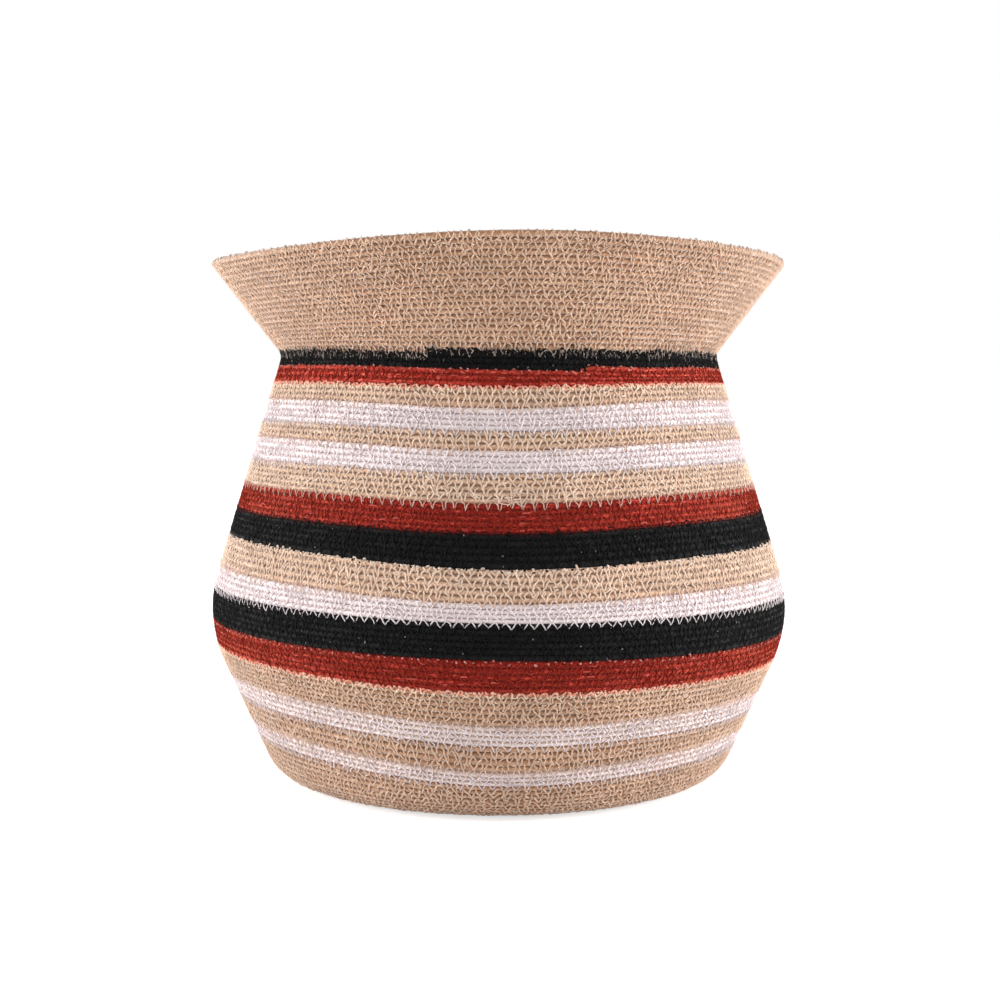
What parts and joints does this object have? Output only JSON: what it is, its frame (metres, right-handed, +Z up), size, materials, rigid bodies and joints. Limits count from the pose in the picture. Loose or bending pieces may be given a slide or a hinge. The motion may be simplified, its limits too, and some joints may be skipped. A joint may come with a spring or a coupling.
{
  "type": "coiled storage basket",
  "caption": "Round open basket of sewn coiled cord, with a flared rim, a narrow neck, a full belly and a flat base, in bands of natural, white, red and black cord.",
  "frame": {"origin": "middle of the flat base, on the surface that the basket stands on", "axes": "+Z up along the basket's own axis; -Y is the side that the picture shows; the ends of the cords lie at +Y"},
  "size_m": [0.288, 0.288, 0.2558],
  "materials": {
    "natural_cord": "matte natural plant fibre cord, sewn with tan thread",
    "white_cord": "matte natural cord covered by white zigzag thread",
    "red_cord": "matte dyed red cord and red thread",
    "black_cord": "matte dyed black cord and black thread"
  },
  "bodies": {
    "root": {"base_coil": "natural_cord", "foot_natural_cord": "natural_cord", "foot_white_cord": "white_cord", "lower_natural_cord": "natural_cord", "lower_white_cord": "white_cord", "belly_lower_natural_cord": "natural_cord", "belly_red_cord": "red_cord", "belly_black_cord": "black_cord", "belly_white_cord": "white_cord", "belly_upper_natural_cord": "natural_cord", "shoulder_black_cord": "black_cord", "shoulder_red_cord": "red_cord", "shoulder_natural_cord": "natural_cord", "upper_white_cord": "white_cord", "upper_natural_cord": "natural_cord", "neck_white_cord": "white_cord", "neck_natural_cord": "natural_cord", "neck_red_cord": "red_cord", "neck_black_cord": "black_cord", "rim_natural_cord": "natural_cord"}
  },
  "joints": []
}
